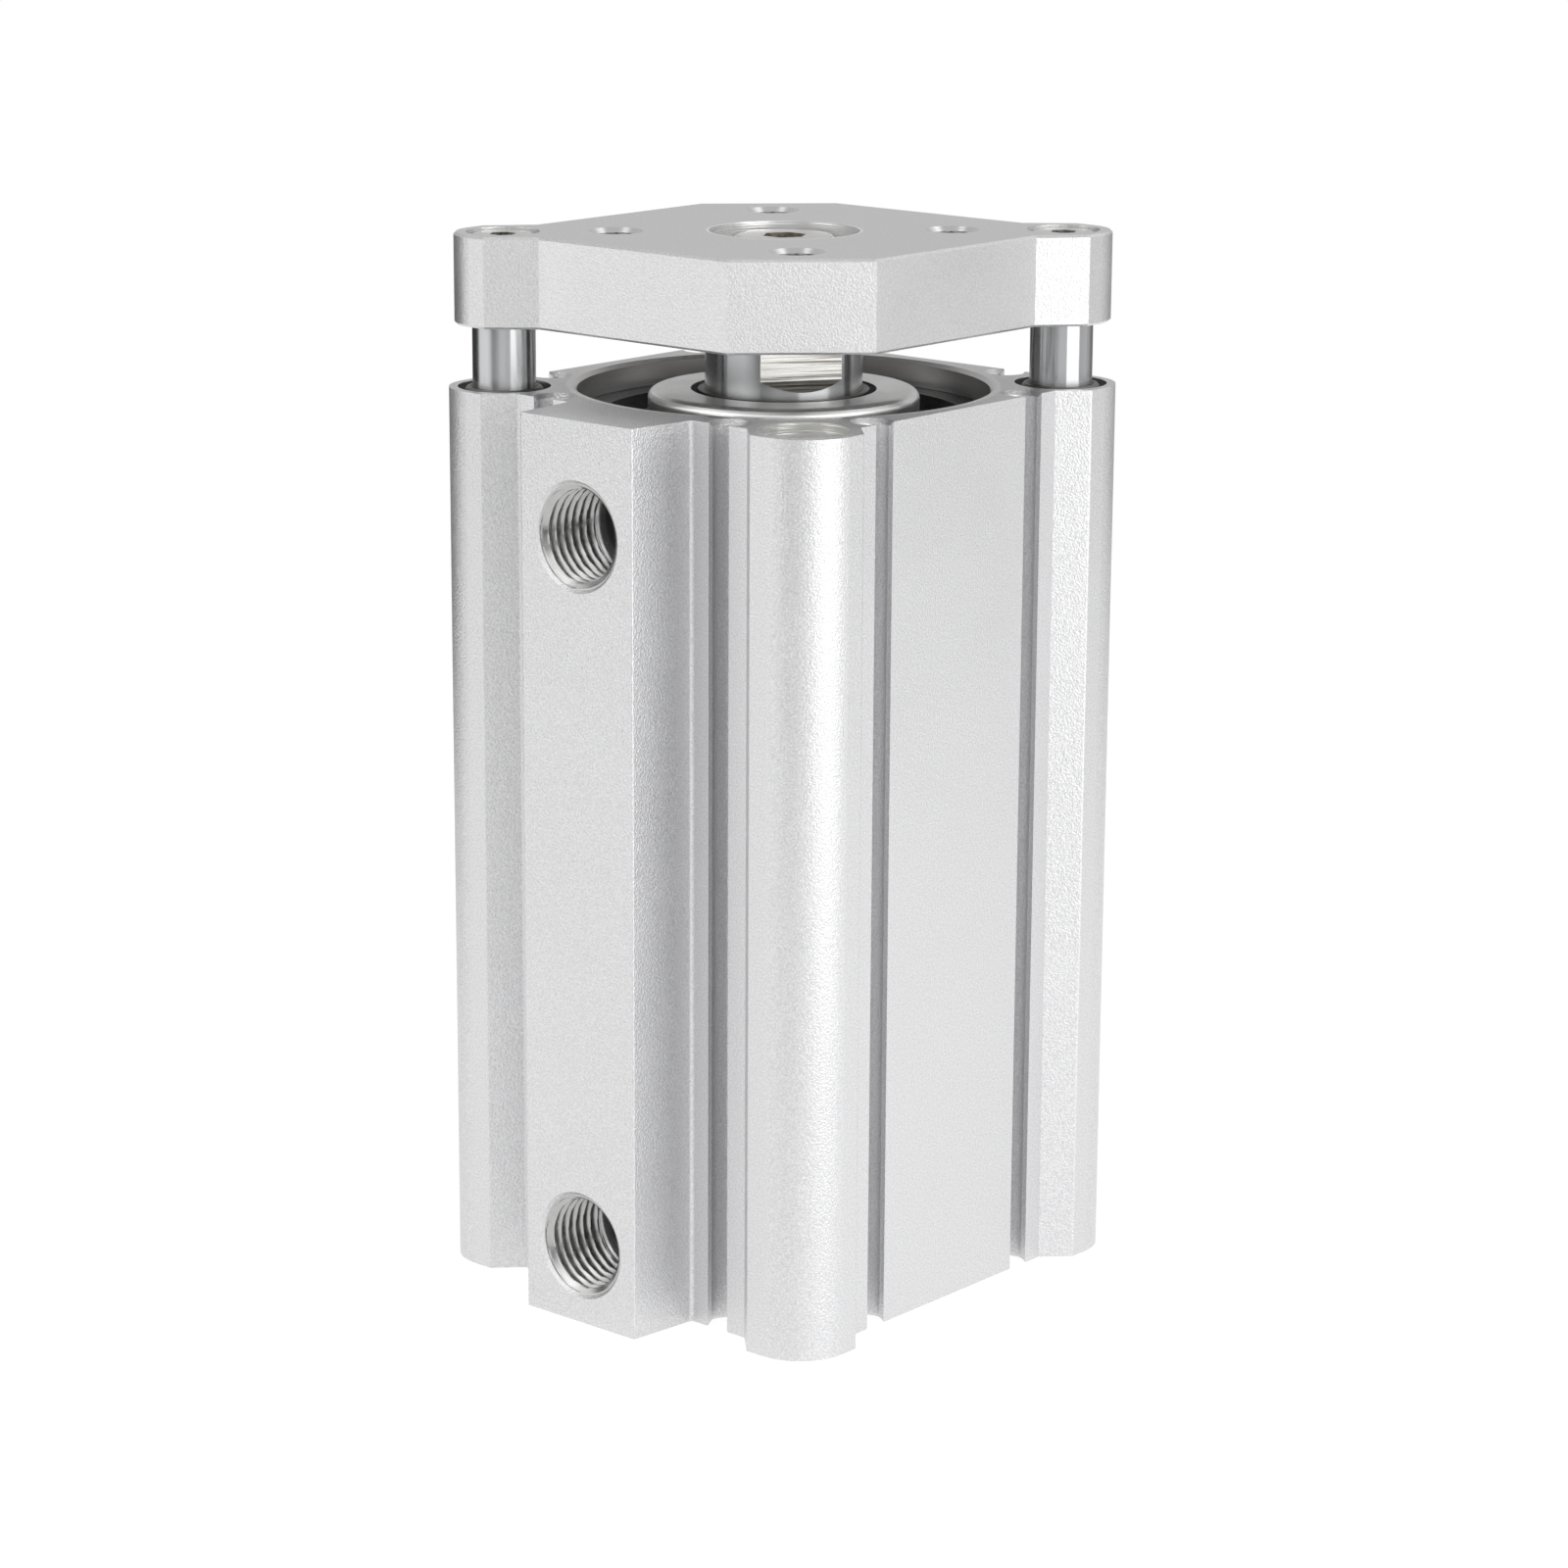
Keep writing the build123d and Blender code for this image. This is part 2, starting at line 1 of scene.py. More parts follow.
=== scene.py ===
from math import cos, pi, radians, sin

import bmesh
import bpy
import numpy as np
from mathutils import Matrix, Vector


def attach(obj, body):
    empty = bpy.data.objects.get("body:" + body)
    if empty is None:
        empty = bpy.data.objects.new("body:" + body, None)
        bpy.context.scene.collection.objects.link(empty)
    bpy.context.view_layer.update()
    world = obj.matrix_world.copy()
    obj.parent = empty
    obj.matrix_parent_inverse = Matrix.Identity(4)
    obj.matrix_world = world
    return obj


# Guided compact air cylinder on a pale floor. Lengths in the dictionaries are millimetres and angles are
# degrees, unless they say otherwise.
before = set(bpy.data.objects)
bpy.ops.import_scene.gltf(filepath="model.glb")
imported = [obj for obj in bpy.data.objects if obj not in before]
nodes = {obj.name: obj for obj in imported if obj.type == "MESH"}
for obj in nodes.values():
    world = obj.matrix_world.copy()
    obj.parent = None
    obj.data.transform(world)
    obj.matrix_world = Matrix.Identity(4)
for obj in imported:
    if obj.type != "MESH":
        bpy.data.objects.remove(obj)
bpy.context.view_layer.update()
mm = 0.001
print("frame loaded:", len(nodes), "nodes")


def linear(hexColour):
    # sRGB hex to linear light: low values are divided by 12.92, the rest follow the 2.4 power curve
    parts = [int(hexColour[i:i + 2], 16) / 255 for i in (1, 3, 5)]
    return tuple([c / 12.92 if c <= 0.04045 else ((c + 0.055) / 1.055) ** 2.4 for c in parts] + [1.0])


def addNode(tree, kind, settings=None, links=None):
    # One node: settings go to its properties or to its sockets, links bring in other nodes' outputs
    node = tree.nodes.new(kind)
    for key, value in (settings or {}).items():
        if isinstance(key, str) and hasattr(node, key):
            setattr(node, key, value)
        else:
            node.inputs[key].default_value = value
    for key, source in (links or {}).items():
        tree.links.new(source, node.inputs[key])
    return node


def startMaterial(name):
    material = bpy.data.materials.new(name)
    material.use_nodes = True
    material.node_tree.nodes.clear()
    return material, material.node_tree


# Camera, at the photograph's place and angle
camera = {
    "place": (367.78, -425.65, 204.57),
    "azimuth": 40.797,      # from -Y towards +X
    "down": 14.11,          # below level
    "roll": 0.305,
    "lens": 102.70,
    "sensor": 36.0,
    "nearest": 10, "furthest": 20000,
}


def makeCamera(c):
    # Forward, right and up from azimuth and pitch, then turned about forward by the roll
    az, down, roll = radians(c["azimuth"]), radians(c["down"]), radians(c["roll"])
    forward = Vector((-sin(az) * cos(down), cos(az) * cos(down), -sin(down)))
    level = Vector((cos(az), sin(az), 0))
    plumb = level.cross(forward)
    right = level * cos(roll) + plumb * sin(roll)
    up = plumb * cos(roll) - level * sin(roll)
    data = bpy.data.cameras.new("camera")
    data.lens = c["lens"]
    data.sensor_width = c["sensor"]
    data.clip_start = c["nearest"] * mm
    data.clip_end = c["furthest"] * mm
    obj = bpy.data.objects.new("camera", data)
    bpy.context.scene.collection.objects.link(obj)
    turn = Matrix((right, up, -forward)).transposed().to_4x4()
    obj.matrix_world = Matrix.Translation(Vector(c["place"]) * mm) @ turn
    bpy.context.scene.camera = obj


makeCamera(camera)
print("camera set")

# Studio: a white table top with four corners, the world round it and a soft box
studio = {
    "tableTurn": -10,           # azimuth that its front edge faces
    "tableReach": (520, 290, 450, 315),     # from the object to its front, right, back and left edges
    "tableColour": "#E9E9EA",
    "tableWhite": 0.82,         # share of plain white in what the camera and reflections see of the table
    "tableGlow": 1.12,          # strength of that white
    "worldLevel": 0.50,         # over the horizon
    "worldBelow": 0.12,         # under it
    "horizon": (-0.10, 0.02),   # heights on a sphere of radius 1 between which it changes
    "worldWhite": 0.05,         # share of plain white in what reflections see of the world
    "glows": [
        # azimuth, elevation, half width, soft edge, level
        (-33, 6, 24, 16, 0.92),     # broad light on the left
        (64, 22, 36, 22, 0.52),     # broad light on the right
        (134, 20, 24, 26, 0.42),    # weaker light behind it
        (-6, 42, 20, 14, 0.90),     # high window in front
        (-44, 64, 5, 8, 0.60),      # two lamps overhead, seen in the countersinks
        (142, 52, 6, 9, 0.75),
        (-134, 14, 28, 22, 0.06),   # light at the back, for the tops
        (6, 0, 8, 20, -0.40),       # shade straight in front
        (-86, -5, 12, 26, -0.50),   # dark corner on the far left
    ],
    "middle": 70,               # height that the boxes face
    "boxes": [
        # name, azimuth, elevation, distance, width, height, watts
        ("keyRight", 86, 8, 380, 320, 340, 0.52),
    ],
}


def skyward(azimuth, elevation):
    # Unit vector from azimuth, counted from -Y towards +X, and elevation
    az, el = radians(azimuth), radians(elevation)
    return Vector((sin(az) * cos(el), -cos(az) * cos(el), sin(el)))


def anyRay(tree, kinds):
    # 1 where the ray is of any of these kinds
    path = addNode(tree, "ShaderNodeLightPath")
    seen = path.outputs[kinds[0]]
    for kind in kinds[1:]:
        larger = addNode(tree, "ShaderNodeMath", {"operation": "MAXIMUM"}, {0: seen, 1: path.outputs[kind]})
        seen = larger.outputs[0]
    return seen


def softBox(middle, name, azimuth, elevation, distance, width, height, watts):
    # A rectangle of light on a sphere about the object's middle, facing it
    out = skyward(azimuth, elevation)
    data = bpy.data.lights.new(name, "AREA")
    data.shape = "RECTANGLE"
    data.size, data.size_y = width * mm, height * mm
    data.energy = watts
    obj = bpy.data.objects.new(name, data)
    bpy.context.scene.collection.objects.link(obj)
    turn = out.to_track_quat("Z", "Y").to_matrix().to_4x4()
    obj.matrix_world = Matrix.Translation(out * distance * mm + Vector((0, 0, middle * mm))) @ turn
    obj.visible_camera = False


def makeTable(s):
    # A sheet whose corners are each a reach forwards or backwards plus one to the right or left
    ahead, aside = skyward(s["tableTurn"], 0) * mm, skyward(s["tableTurn"] + 90, 0) * mm
    front, right, back, left = s["tableReach"]
    reaches = ((front, right), (-back, right), (-back, -left), (front, -left))
    mesh = bpy.data.meshes.new("studioTable")
    mesh.from_pydata([ahead * u + aside * v for u, v in reaches], [], [[0, 1, 2, 3]])
    if mesh.polygons[0].normal.z < 0:
        mesh.flip_normals()
    floor = bpy.data.objects.new("studioTable", mesh)
    bpy.context.scene.collection.objects.link(floor)
    # Matt white board: it takes the object's shadow, and looks nearly plain white to camera and mirrors
    material, tree = startMaterial("whiteTable")
    seen = anyRay(tree, ["Is Camera Ray", "Is Glossy Ray", "Is Transmission Ray"])
    share = addNode(tree, "ShaderNodeMath", {"operation": "MULTIPLY", 1: s["tableWhite"]}, {0: seen})
    paper = addNode(tree, "ShaderNodeBsdfDiffuse", {"Color": linear(s["tableColour"])})
    white = addNode(tree, "ShaderNodeEmission", {"Color": (1, 1, 1, 1), "Strength": s["tableGlow"]})
    mix = addNode(tree, "ShaderNodeMixShader", {}, {
        0: share.outputs[0], 1: paper.outputs[0], 2: white.outputs[0]})
    addNode(tree, "ShaderNodeOutputMaterial", {}, {"Surface": mix.outputs[0]})
    mesh.materials.append(material)


def makeWorld(s):
    # Brighter over the horizon than under it, with glows that grow smoothly from their edges inwards
    world = bpy.data.worlds.new("studio")
    bpy.context.scene.world = world
    world.use_nodes = True
    tree = world.node_tree
    tree.nodes.clear()
    ray = addNode(tree, "ShaderNodeTexCoord").outputs["Generated"]
    height = addNode(tree, "ShaderNodeSeparateXYZ", {}, {0: ray})
    level = addNode(tree, "ShaderNodeMapRange", {
        "interpolation_type": "SMOOTHSTEP", "From Min": s["horizon"][0], "From Max": s["horizon"][1],
        "To Min": s["worldBelow"], "To Max": s["worldLevel"]}, {"Value": height.outputs["Z"]})
    for azimuth, elevation, half, edge, strength in s["glows"]:
        facing = addNode(tree, "ShaderNodeVectorMath", {
            "operation": "DOT_PRODUCT", 1: skyward(azimuth, elevation)}, {0: ray})
        glow = addNode(tree, "ShaderNodeMapRange", {
            "interpolation_type": "SMOOTHSTEP",
            "From Min": cos(radians(half + edge)), "From Max": cos(radians(half)),
            "To Min": 0.0, "To Max": strength}, {"Value": facing.outputs["Value"]})
        level = addNode(tree, "ShaderNodeMath", {"operation": "ADD"}, {
            0: level.outputs[0], 1: glow.outputs["Result"]})
    level = addNode(tree, "ShaderNodeMath", {"operation": "MAXIMUM", 1: 0.0}, {0: level.outputs[0]})
    mirrored = anyRay(tree, ["Is Glossy Ray", "Is Transmission Ray"])
    share = addNode(tree, "ShaderNodeMath", {"operation": "MULTIPLY", 1: s["worldWhite"]}, {0: mirrored})
    share = addNode(tree, "ShaderNodeMath", {"operation": "MAXIMUM"}, {
        0: share.outputs[0], 1: anyRay(tree, ["Is Camera Ray"])})
    lit = addNode(tree, "ShaderNodeBackground", {"Color": (1, 1, 1, 1)}, {"Strength": level.outputs[0]})
    white = addNode(tree, "ShaderNodeBackground", {"Color": (1, 1, 1, 1), "Strength": 1.0})
    mix = addNode(tree, "ShaderNodeMixShader", {}, {
        0: share.outputs[0], 1: lit.outputs[0], 2: white.outputs[0]})
    addNode(tree, "ShaderNodeOutputWorld", {}, {"Surface": mix.outputs[0]})


def makeStudio(s):
    makeTable(s)
    makeWorld(s)
    for box in s["boxes"]:
        softBox(s["middle"], *box)
    bpy.context.scene.view_settings.view_transform = "Standard"


makeStudio(studio)
print("studio lit")

noiseMiddle = {"From Min": 0.3, "From Max": 0.7}    # where nearly all of a noise's values lie


def endMaterial(tree, base, settings, links):
    # The one surface shader of a material, with its output
    values = {"Base Color": linear(base)}
    values.update(settings)
    skin = addNode(tree, "ShaderNodeBsdfPrincipled", values, links)
    addNode(tree, "ShaderNodeOutputMaterial", {}, {"Surface": skin.outputs[0]})


def cutMask(tree, place, cuts):
    # 1 inside any of the cuts: each is a point, a weight for each axis (0 along a hole's own axis), a radius
    inside = None
    for point, weights, radius in cuts:
        off = addNode(tree, "ShaderNodeVectorMath", {
            "operation": "SUBTRACT", 1: Vector(point) * mm}, {0: place})
        flat = addNode(tree, "ShaderNodeVectorMath", {"operation": "MULTIPLY", 1: weights}, {
            0: off.outputs["Vector"]})
        reach = addNode(tree, "ShaderNodeVectorMath", {"operation": "LENGTH"}, {0: flat.outputs["Vector"]})
        near = addNode(tree, "ShaderNodeMath", {"operation": "LESS_THAN", 1: radius * mm}, {
            0: reach.outputs["Value"]})
        if inside is None:
            inside = near
        else:
            inside = addNode(tree, "ShaderNodeMath", {"operation": "MAXIMUM"}, {
                0: inside.outputs[0], 1: near.outputs[0]})
    return inside.outputs[0]


def blastedAluminium(name, c):
    # Extruded or milled aluminium, glass-bead blasted and clear anodised: an even pale grey that scatters
    # light like frosted glass, with single grains that catch it. Holes cut after blasting show tool rings.
    material, tree = startMaterial(name)
    place = addNode(tree, "ShaderNodeTexCoord").outputs["Object"]
    grains = addNode(tree, "ShaderNodeTexNoise", {
        "Scale": 1 / (c["grain"] * mm), "Detail": 1.0, "Roughness": 0.5}, {"Vector": place})
    cloud = addNode(tree, "ShaderNodeTexNoise", {"Scale": 1 / (c["cloud"] * mm), "Detail": 3.0}, {
        "Vector": place})
    stretch = addNode(tree, "ShaderNodeVectorMath", {"operation": "MULTIPLY", 1: c["rings"]}, {0: place})
    rings = addNode(tree, "ShaderNodeTexNoise", {"Scale": 1.0, "Detail": 2.0}, {
        "Vector": stretch.outputs["Vector"]})
    tint = addNode(tree, "ShaderNodeMix", {
        "data_type": "RGBA", "A": linear(c["deep"]), "B": linear(c["colour"])}, {
        "Factor": grains.outputs["Fac"]}).outputs["Result"]
    sheen = addNode(tree, "ShaderNodeMapRange", {
        **noiseMiddle, "To Min": c["rough"] - c["wander"], "To Max": c["rough"] + c["wander"]}, {
        "Value": cloud.outputs["Fac"]}).outputs["Result"]
    skin, depth = grains.outputs["Fac"], {}
    for cut in c["cuts"]:
        inside = cutMask(tree, place, cut["at"])
        tint = addNode(tree, "ShaderNodeMix", {"data_type": "RGBA", "B": linear(cut["colour"])}, {
            "Factor": inside, "A": tint}).outputs["Result"]
        sheen = addNode(tree, "ShaderNodeMix", {"data_type": "FLOAT", "B": cut["rough"]}, {
            "Factor": inside, "A": sheen}).outputs["Result"]
        skin = addNode(tree, "ShaderNodeMix", {"data_type": "FLOAT"}, {
            "Factor": inside, "A": skin, "B": rings.outputs["Fac"]}).outputs["Result"]
        before = {"A": depth["Distance"]} if depth else {}
        mixed = addNode(tree, "ShaderNodeMix", {
            "data_type": "FLOAT", "A": c["bump"] * mm, "B": cut["bump"] * mm}, {"Factor": inside, **before})
        depth = {"Distance": mixed.outputs["Result"]}
    relief = addNode(tree, "ShaderNodeBump", {"Strength": 1.0, "Distance": c["bump"] * mm}, {
        "Height": skin, **depth})
    endMaterial(tree, c["colour"], {"Metallic": c["metallic"]}, {
        "Base Color": tint, "Roughness": sheen, "Normal": relief.outputs["Normal"]})
    return material


def turnedMetal(name, c, colour, pitch, bump, rough):
    # Metal turned on a lathe about the rod's axis: fine rings that spread the light outwards
    material, tree = startMaterial(name)
    place = addNode(tree, "ShaderNodeTexCoord").outputs["Object"]
    flat = addNode(tree, "ShaderNodeVectorMath", {"operation": "MULTIPLY", 1: (1, 1, 0)}, {0: place})
    reach = addNode(tree, "ShaderNodeVectorMath", {"operation": "LENGTH"}, {0: flat.outputs["Vector"]})
    turns = addNode(tree, "ShaderNodeMath", {"operation": "MULTIPLY", 1: 2 * pi / (pitch * mm)}, {
        0: reach.outputs["Value"]})
    rings = addNode(tree, "ShaderNodeMath", {"operation": "SINE"}, {0: turns.outputs[0]})
    cloud = addNode(tree, "ShaderNodeTexNoise", {"Scale": 1 / (c["cloud"] * mm), "Detail": 4.0}, {
        "Vector": place})
    relief = addNode(tree, "ShaderNodeBump", {"Strength": 1.0, "Distance": bump * mm}, {
        "Height": rings.outputs[0]})
    sheen = addNode(tree, "ShaderNodeMapRange", {
        **noiseMiddle, "To Min": rough - c["smoother"], "To Max": rough + c["rougher"]}, {
        "Value": cloud.outputs["Fac"]})
    endMaterial(tree, colour, {"Metallic": 1.0}, {
        "Roughness": sheen.outputs["Result"], "Normal": relief.outputs["Normal"]})
    return material


def groundChrome(name, c):
    # Hard chrome, ground round and round: a mirror that smears what it shows along the rod. The wrench flats
    # were milled afterwards, so there the cutter's lines run level and break the mirror up.
    material, tree = startMaterial(name)
    place = addNode(tree, "ShaderNodeTexCoord").outputs["Object"]
    inner = cutMask(tree, place, [(rodAxis, upright, c["flatsWithin"])])
    height = addNode(tree, "ShaderNodeSeparateXYZ", {}, {0: place})
    high = addNode(tree, "ShaderNodeMath", {"operation": "GREATER_THAN", 1: c["flatsAbove"] * mm}, {
        0: height.outputs["Z"]})
    milled = addNode(tree, "ShaderNodeMath", {"operation": "MULTIPLY"}, {0: inner, 1: high.outputs[0]})
    stretch = addNode(tree, "ShaderNodeVectorMath", {"operation": "MULTIPLY", 1: c["streaks"]}, {0: place})
    lines = addNode(tree, "ShaderNodeTexNoise", {"Scale": 1.0, "Detail": 3.0, "Roughness": 0.6}, {
        "Vector": stretch.outputs["Vector"]})
    marks = addNode(tree, "ShaderNodeMapRange", {
        "From Min": c["streakRange"][0], "From Max": c["streakRange"][1], "To Min": 0.0, "To Max": 1.0}, {
        "Value": lines.outputs["Fac"]})
    tint = addNode(tree, "ShaderNodeMix", {
        "data_type": "RGBA", "A": linear(c["streakColour"]), "B": linear(c["flatColour"])}, {
        "Factor": marks.outputs["Result"]})
    tint = addNode(tree, "ShaderNodeMix", {"data_type": "RGBA", "A": linear(c["colour"])}, {
        "Factor": milled.outputs[0], "B": tint.outputs["Result"]})
    depth = addNode(tree, "ShaderNodeMix", {
        "data_type": "FLOAT", "A": c["hoopBump"] * mm, "B": c["milledBump"] * mm}, {
        "Factor": milled.outputs[0]})
    relief = addNode(tree, "ShaderNodeBump", {"Strength": 1.0}, {
        "Height": lines.outputs["Fac"], "Distance": depth.outputs["Result"]})
    hoops = addNode(tree, "ShaderNodeTangent", {"direction_type": "RADIAL", "axis": "Z"})
    endMaterial(tree, c["colour"], {
        "Metallic": 1.0, "Roughness": c["rough"],
        "Anisotropic": c["smear"], "Anisotropic Rotation": c["smearTurn"]}, {
        "Base Color": tint.outputs["Result"], "Normal": relief.outputs["Normal"],
        "Tangent": hoops.outputs["Tangent"]})
    return material


def platedSteel(name, c):
    # Zinc-plated screw steel: bright grey heads, yellowish down in the sockets where the plating is thin
    material, tree = startMaterial(name)
    place = addNode(tree, "ShaderNodeTexCoord").outputs["Object"]
    grains = addNode(tree, "ShaderNodeTexNoise", {"Scale": 1 / (c["grain"] * mm), "Detail": 4.0}, {
        "Vector": place})
    height = addNode(tree, "ShaderNodeSeparateXYZ", {}, {0: place})
    down = addNode(tree, "ShaderNodeMapRange", {
        "From Min": c["goldBelow"] * mm, "From Max": c["greyAbove"] * mm, "To Min": 1.0, "To Max": 0.0}, {
        "Value": height.outputs["Z"]})
    inside = cutMask(tree, place, c["sockets"])
    worn = addNode(tree, "ShaderNodeMath", {"operation": "MULTIPLY"}, {0: down.outputs["Result"], 1: inside})
    tint = addNode(tree, "ShaderNodeMix", {
        "data_type": "RGBA", "A": linear(c["colour"]), "B": linear(c["gold"])}, {"Factor": worn.outputs[0]})
    sheen = addNode(tree, "ShaderNodeMapRange", {
        **noiseMiddle, "To Min": c["rough"] - c["smoother"], "To Max": c["rough"] + c["rougher"]}, {
        "Value": grains.outputs["Fac"]})
    relief = addNode(tree, "ShaderNodeBump", {"Strength": 1.0, "Distance": c["bump"] * mm}, {
        "Height": grains.outputs["Fac"]})
    endMaterial(tree, c["colour"], {"Metallic": 1.0}, {
        "Base Color": tint.outputs["Result"], "Roughness": sheen.outputs["Result"],
        "Normal": relief.outputs["Normal"]})
    return material


def grainyFinish(name, colour, deep, grain, bump, rough, metallic=0.0, specular=0.5):
    # Rubber, resin, phosphated steel or tapped aluminium: a faintly uneven skin
    wander = 0.06       # of the roughness, either way
    material, tree = startMaterial(name)
    place = addNode(tree, "ShaderNodeTexCoord").outputs["Object"]
    grains = addNode(tree, "ShaderNodeTexNoise", {"Scale": 1 / (grain * mm), "Detail": 4.0}, {"Vector": place})
    tint = addNode(tree, "ShaderNodeMix", {"data_type": "RGBA", "A": linear(deep), "B": linear(colour)}, {
        "Factor": grains.outputs["Fac"]})
    sheen = addNode(tree, "ShaderNodeMapRange", {
        **noiseMiddle, "To Min": rough - wander, "To Max": rough + wander}, {"Value": grains.outputs["Fac"]})
    relief = addNode(tree, "ShaderNodeBump", {"Strength": 1.0, "Distance": bump * mm}, {
        "Height": grains.outputs["Fac"]})
    endMaterial(tree, colour, {"Metallic": metallic, "Specular IOR Level": specular}, {
        "Base Color": tint.outputs["Result"], "Roughness": sheen.outputs["Result"],
        "Normal": relief.outputs["Normal"]})
    return material


# Places that finishes and threads share
places = {
    "lobeHole": 25.0,               # x and y of the holes in the body's four lobes
    "portHeights": (10.25, 101.2),
    "bossFace": -38.45,             # y of the face that the ports open in
    "plateTop": 135.0,
    "plateHole": 15.0,              # x and y of the plate's tapped holes
}
upright = (1, 1, 0)                 # weights of a hole that stands up
domed = (1, 1, 0.5)                 # of a hole that ends a short way under its mouth
inwards = (1, 0.3, 1)               # of a hole that runs in from the front
lobe, rodAxis = places["lobeHole"], (0, 0, 0)
plateTop, plateHole = places["plateTop"], places["plateHole"]

# Real blasting leaves pits of about 0.1 mm. They are drawn 0.25 mm wide, so that they show.
tubeFinish = {
    "colour": "#F2F2F3", "deep": "#C0C0C1", "metallic": 0.88, "rough": 0.40, "wander": 0.03,
    "grain": 0.25, "bump": 0.082, "cloud": 14.0,
    "rings": (120, 120, 5200),      # noise cells per metre: level rings 0.2 mm apart, as a drill leaves them
    "cuts": [
        # bore
        {"at": [(rodAxis, upright, 27.6)], "colour": "#CFCDCC", "rough": 0.26, "bump": 0.006},
        # mounting and guide holes
        {"at": [
            ((lobe, -lobe, 0), upright, 5.75), ((-lobe, lobe, 0), upright, 5.75),
            ((-lobe, -lobe, 0), upright, 5.95), ((lobe, lobe, 0), upright, 5.95)],
            "colour": "#FAFAF8", "rough": 0.22, "bump": 0.045},
        # far ends of the ports: the darker grey here is painted shade, standing in for the shade deep in the
        # holes
        {"at": [((0, -33, height), inwards, 6.62) for height in places["portHeights"]],
            "colour": "#77777A", "rough": 0.40, "bump": 0.008},
    ],
}
plateFinish = {
    "colour": "#F0F0F0", "deep": "#CACACA", "metallic": 0.90, "rough": 0.38, "wander": 0.03,
    "grain": 0.25, "bump": 0.045, "cloud": 14.0, "rings": (120, 120, 5200),
    "cuts": [
        # wide counterbore in the middle
        {"at": [((0, 0, plateTop), domed, 9.9)], "colour": "#F8F8F8", "rough": 0.28, "bump": 0.030},
        # countersinks of the tapped holes
        {"at": [
            ((x, y, plateTop), domed, 3.75) for x in (-plateHole, plateHole) for y in (-plateHole, plateHole)],
            "colour": "#DCDCDC", "rough": 0.20, "bump": 0.006},
    ],
}
turnedFinish = {"cloud": 5.0, "smoother": 0.04, "rougher": 0.06}
chromeFinish = {
    "colour": "#C1C2C3", "rough": 0.20, "hoopBump": 0.0006,
    "smear": 1.0, "smearTurn": 0.25,                # a quarter turn lays the smear along the rod
    "flatsWithin": 9.97, "flatsAbove": 115.8,       # a radius and a height
    "streaks": (50, 50, 3600),      # noise cells per metre: level lines 0.3 mm apart, as the cutter feeds
    "streakRange": (0.36, 0.52), "milledBump": 0.030,
    "flatColour": "#D6D4D0", "streakColour": "#76726C",
}
screwFinish = {
    "colour": "#DAD9D6", "gold": "#D8B985", "rough": 0.18, "smoother": 0.04, "rougher": 0.08,
    "grain": 0.8, "bump": 0.005,
    "goldBelow": 132.2, "greyAbove": 134.0,         # heights
    "sockets": [
        (rodAxis, upright, 3.1), ((-lobe, -lobe, 0), upright, 1.9), ((lobe, lobe, 0), upright, 1.9)],
}
# The finish for each material slot of the record. Lathe rings are drawn coarser than they are, so that they
# show: 0.35 to 0.5 mm apart.
finishes = {
    "tube_anodised": blastedAluminium("blastedTube", tubeFinish),
    "plate_anodised": blastedAluminium("blastedPlate", plateFinish),
    "cover_aluminium": turnedMetal("turnedCover", turnedFinish, "#F0F0EF", 0.35, 0.010, 0.34),
    "piston_aluminium": turnedMetal("turnedPiston", turnedFinish, "#C4C4C4", 0.5, 0.008, 0.32),
    "rod_chrome": groundChrome("groundChrome", chromeFinish),
    "bush_metal": turnedMetal("sinteredBush", turnedFinish, "#7C7A76", 0.4, 0.004, 0.45),
    "ring_steel": grainyFinish("phosphatedRing", "#2A2A2C", "#161617", 0.5, 0.010, 0.42, 0.6),
    "screw_steel": platedSteel("platedScrew", screwFinish),
    "black_rubber": grainyFinish("sealRubber", "#141414", "#0C0C0C", 0.3, 0.008, 0.65, 0.0, 0.15),
    "bumper_rubber": grainyFinish("bumperRubber", "#2B2320", "#1B1614", 0.5, 0.012, 0.60),
    "wear_ring_resin": grainyFinish("bandResin", "#6F5A3E", "#5C4931", 0.6, 0.008, 0.45),
    "magnet_resin": grainyFinish("magnetResin", "#3A3A3D", "#2A2A2D", 0.5, 0.010, 0.50),
}
tappedAluminium = grainyFinish("tappedAluminium", "#C6C6C5", "#AEAEAD", 0.9, 0.002, 0.22, 0.86)
# Darker grey for the plate's tapped holes: painted shade for the insides of the deep holes
tappedPaintedShade = grainyFinish("tappedPaintedShade", "#8F8F8F", "#6E6E6E", 0.9, 0.002, 0.13, 1.0)


def dressNodes():
    # Each CAD node takes the finish of the slot that the record gives it
    for obj in nodes.values():
        for slot in obj.material_slots:
            slot.material = finishes[slot.material.name.split(".")[0]]


dressNodes()
print("finishes on")


def closedGrid(name, points, material, body, sharpAngle=40):
    # points is rows x columns x 3 in millimetres, closed both ways: each joins its right and lower neighbours
    rows, columns = points.shape[:2]
    index = np.arange(rows * columns).reshape(rows, columns)
    right, down = np.roll(index, -1, axis=1), np.roll(index, -1, axis=0)
    faces = np.stack([index, right, np.roll(right, -1, axis=0), down], axis=-1).reshape(-1, 4)
    mesh = bpy.data.meshes.new(name)
    mesh.from_pydata((points.reshape(-1, 3) * mm).tolist(), [], faces.tolist())
    work = bmesh.new()
    work.from_mesh(mesh)
    bmesh.ops.recalc_face_normals(work, faces=work.faces)
    work.to_mesh(mesh)
    work.free()
    mesh.polygons.foreach_set("use_smooth", np.ones(len(mesh.polygons), bool))
    mesh.set_sharp_from_angle(angle=radians(sharpAngle))
    mesh.materials.append(material)
    obj = bpy.data.objects.new(name, mesh)
    bpy.context.scene.collection.objects.link(obj)
    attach(obj, body)


threadForm = {"stretch": 1.3, "drop": 0.15}     # the V is made this much taller, then cut off below and above


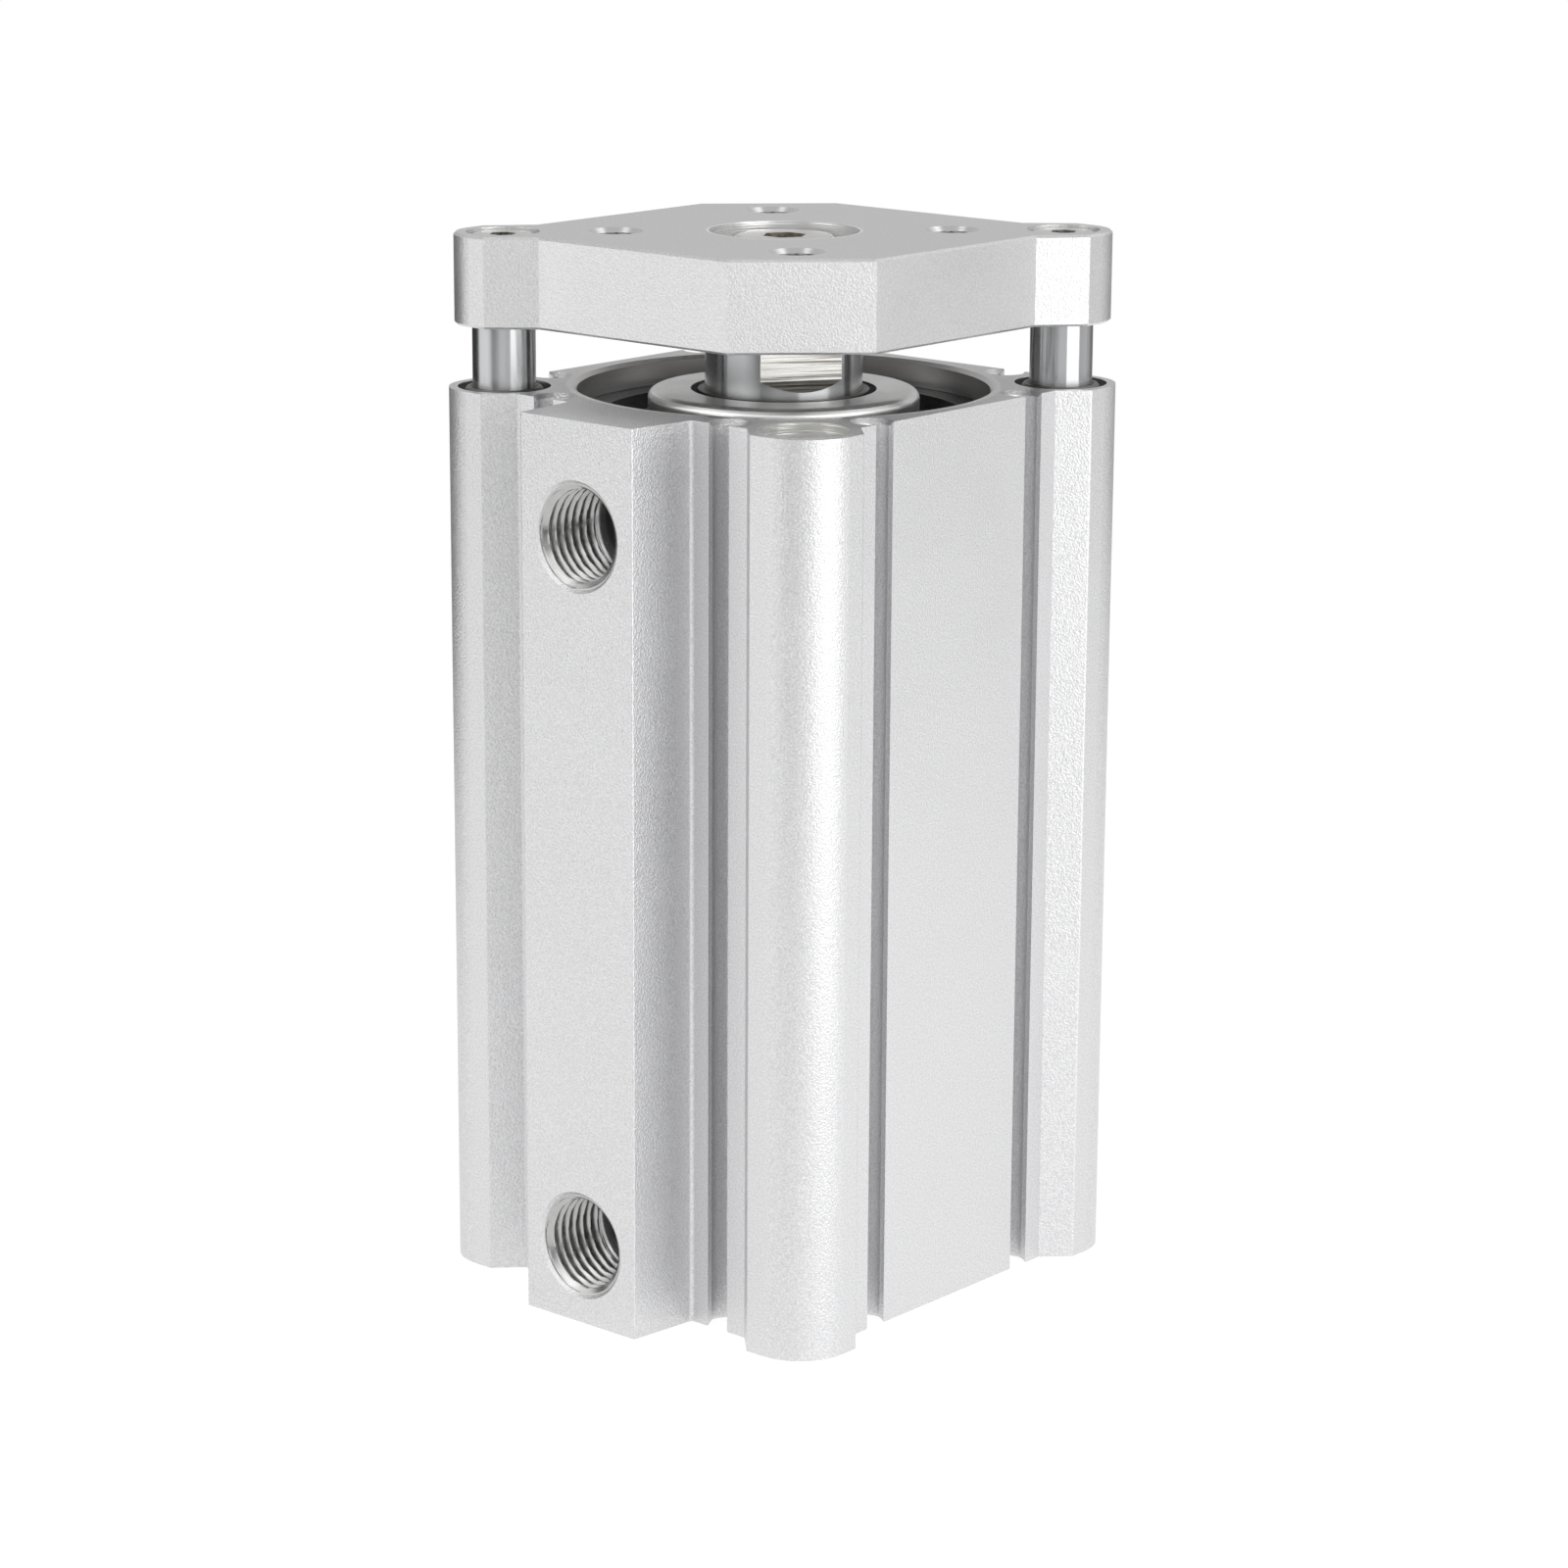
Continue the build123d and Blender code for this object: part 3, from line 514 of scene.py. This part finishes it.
def threadSleeve(t):
    # Inside of a tapped hole as r(angle, depth): a V that runs once up and down for each pitch along the helix,
    # flattened at crest and root. It starts where the mouth's chamfer ends, is cut off by a steeper cone there,
    # and past its last turn fades into the smooth tapping bore. Returns x, y and depth.
    turns = (t["depth"] - t["start"]) / t["pitch"]
    s, a = np.meshgrid(
        np.linspace(t["start"], t["depth"], int(turns * t["stepsPerTurn"])),
        np.arange(t["stepsAround"]) * 2 * pi / t["stepsAround"], indexing="ij")
    phase = (s / t["pitch"] + a / (2 * pi)) % 1.0
    wave = np.clip(np.abs(2 * phase - 1) * threadForm["stretch"] - threadForm["drop"], 0, 1)
    fade = np.clip((t["lastTurn"] - s) / t["pitch"], 0, 1)
    r = t["minor"] + (t["major"] - t["minor"]) * wave * fade
    r = np.minimum(np.maximum(r, t["mouth"] - t["lead"] * s), t["major"])
    inner = np.stack([r * np.cos(a), r * np.sin(a), s], axis=-1)
    outer = t["major"] + t["skin"]
    wall = np.stack([outer * np.cos(a[:2]), outer * np.sin(a[:2]), s[[-1, 0]]], axis=-1)
    return np.concatenate([inner, wall], axis=0)


# Quarter-inch pipe threads in the two ports. mouth is the chamfer's radius at the face, lead the cone's slope
# and skin the sleeve's thickness behind the roots.
portThread = {
    "names": ("port_thread_head_end", "port_thread_rod_end"),
    "major": 6.565, "minor": 5.72, "pitch": 1.337, "skin": 0.008,
    "start": 0.40, "lastTurn": 10.9, "depth": 10.95, "mouth": 6.9785, "lead": 1.4,
    "stepsAround": 128, "stepsPerTurn": 14,
}


def makePortThreads(t):
    g = threadSleeve(t)
    for name, height in zip(t["names"], places["portHeights"]):
        points = np.stack([g[..., 0], places["bossFace"] + g[..., 2], height + g[..., 1]], axis=-1)
        closedGrid(name, points, tappedAluminium, "barrel")


makePortThreads(portThread)
print("port threads cut")

# M6 threads in the end plate, counted anticlockwise from the front left
plateThread = {
    "corners": ((-1, -1), (1, -1), (1, 1), (-1, 1)),
    "major": 2.988, "minor": 2.48, "pitch": 1.0, "skin": 0.006,
    "start": 0.60, "lastTurn": 11.4, "depth": 11.4, "mouth": 3.6, "lead": 1.0,
    "stepsAround": 72, "stepsPerTurn": 12,
}


def makePlateThreads(t):
    g = threadSleeve(t)
    for number, (x, y) in enumerate(t["corners"], 1):
        points = np.stack([x * plateHole + g[..., 0], y * plateHole + g[..., 1], plateTop - g[..., 2]], axis=-1)
        closedGrid(f"plate_thread_{number}", points, tappedPaintedShade, "carriage")


makePlateThreads(plateThread)
print("plate threads cut")
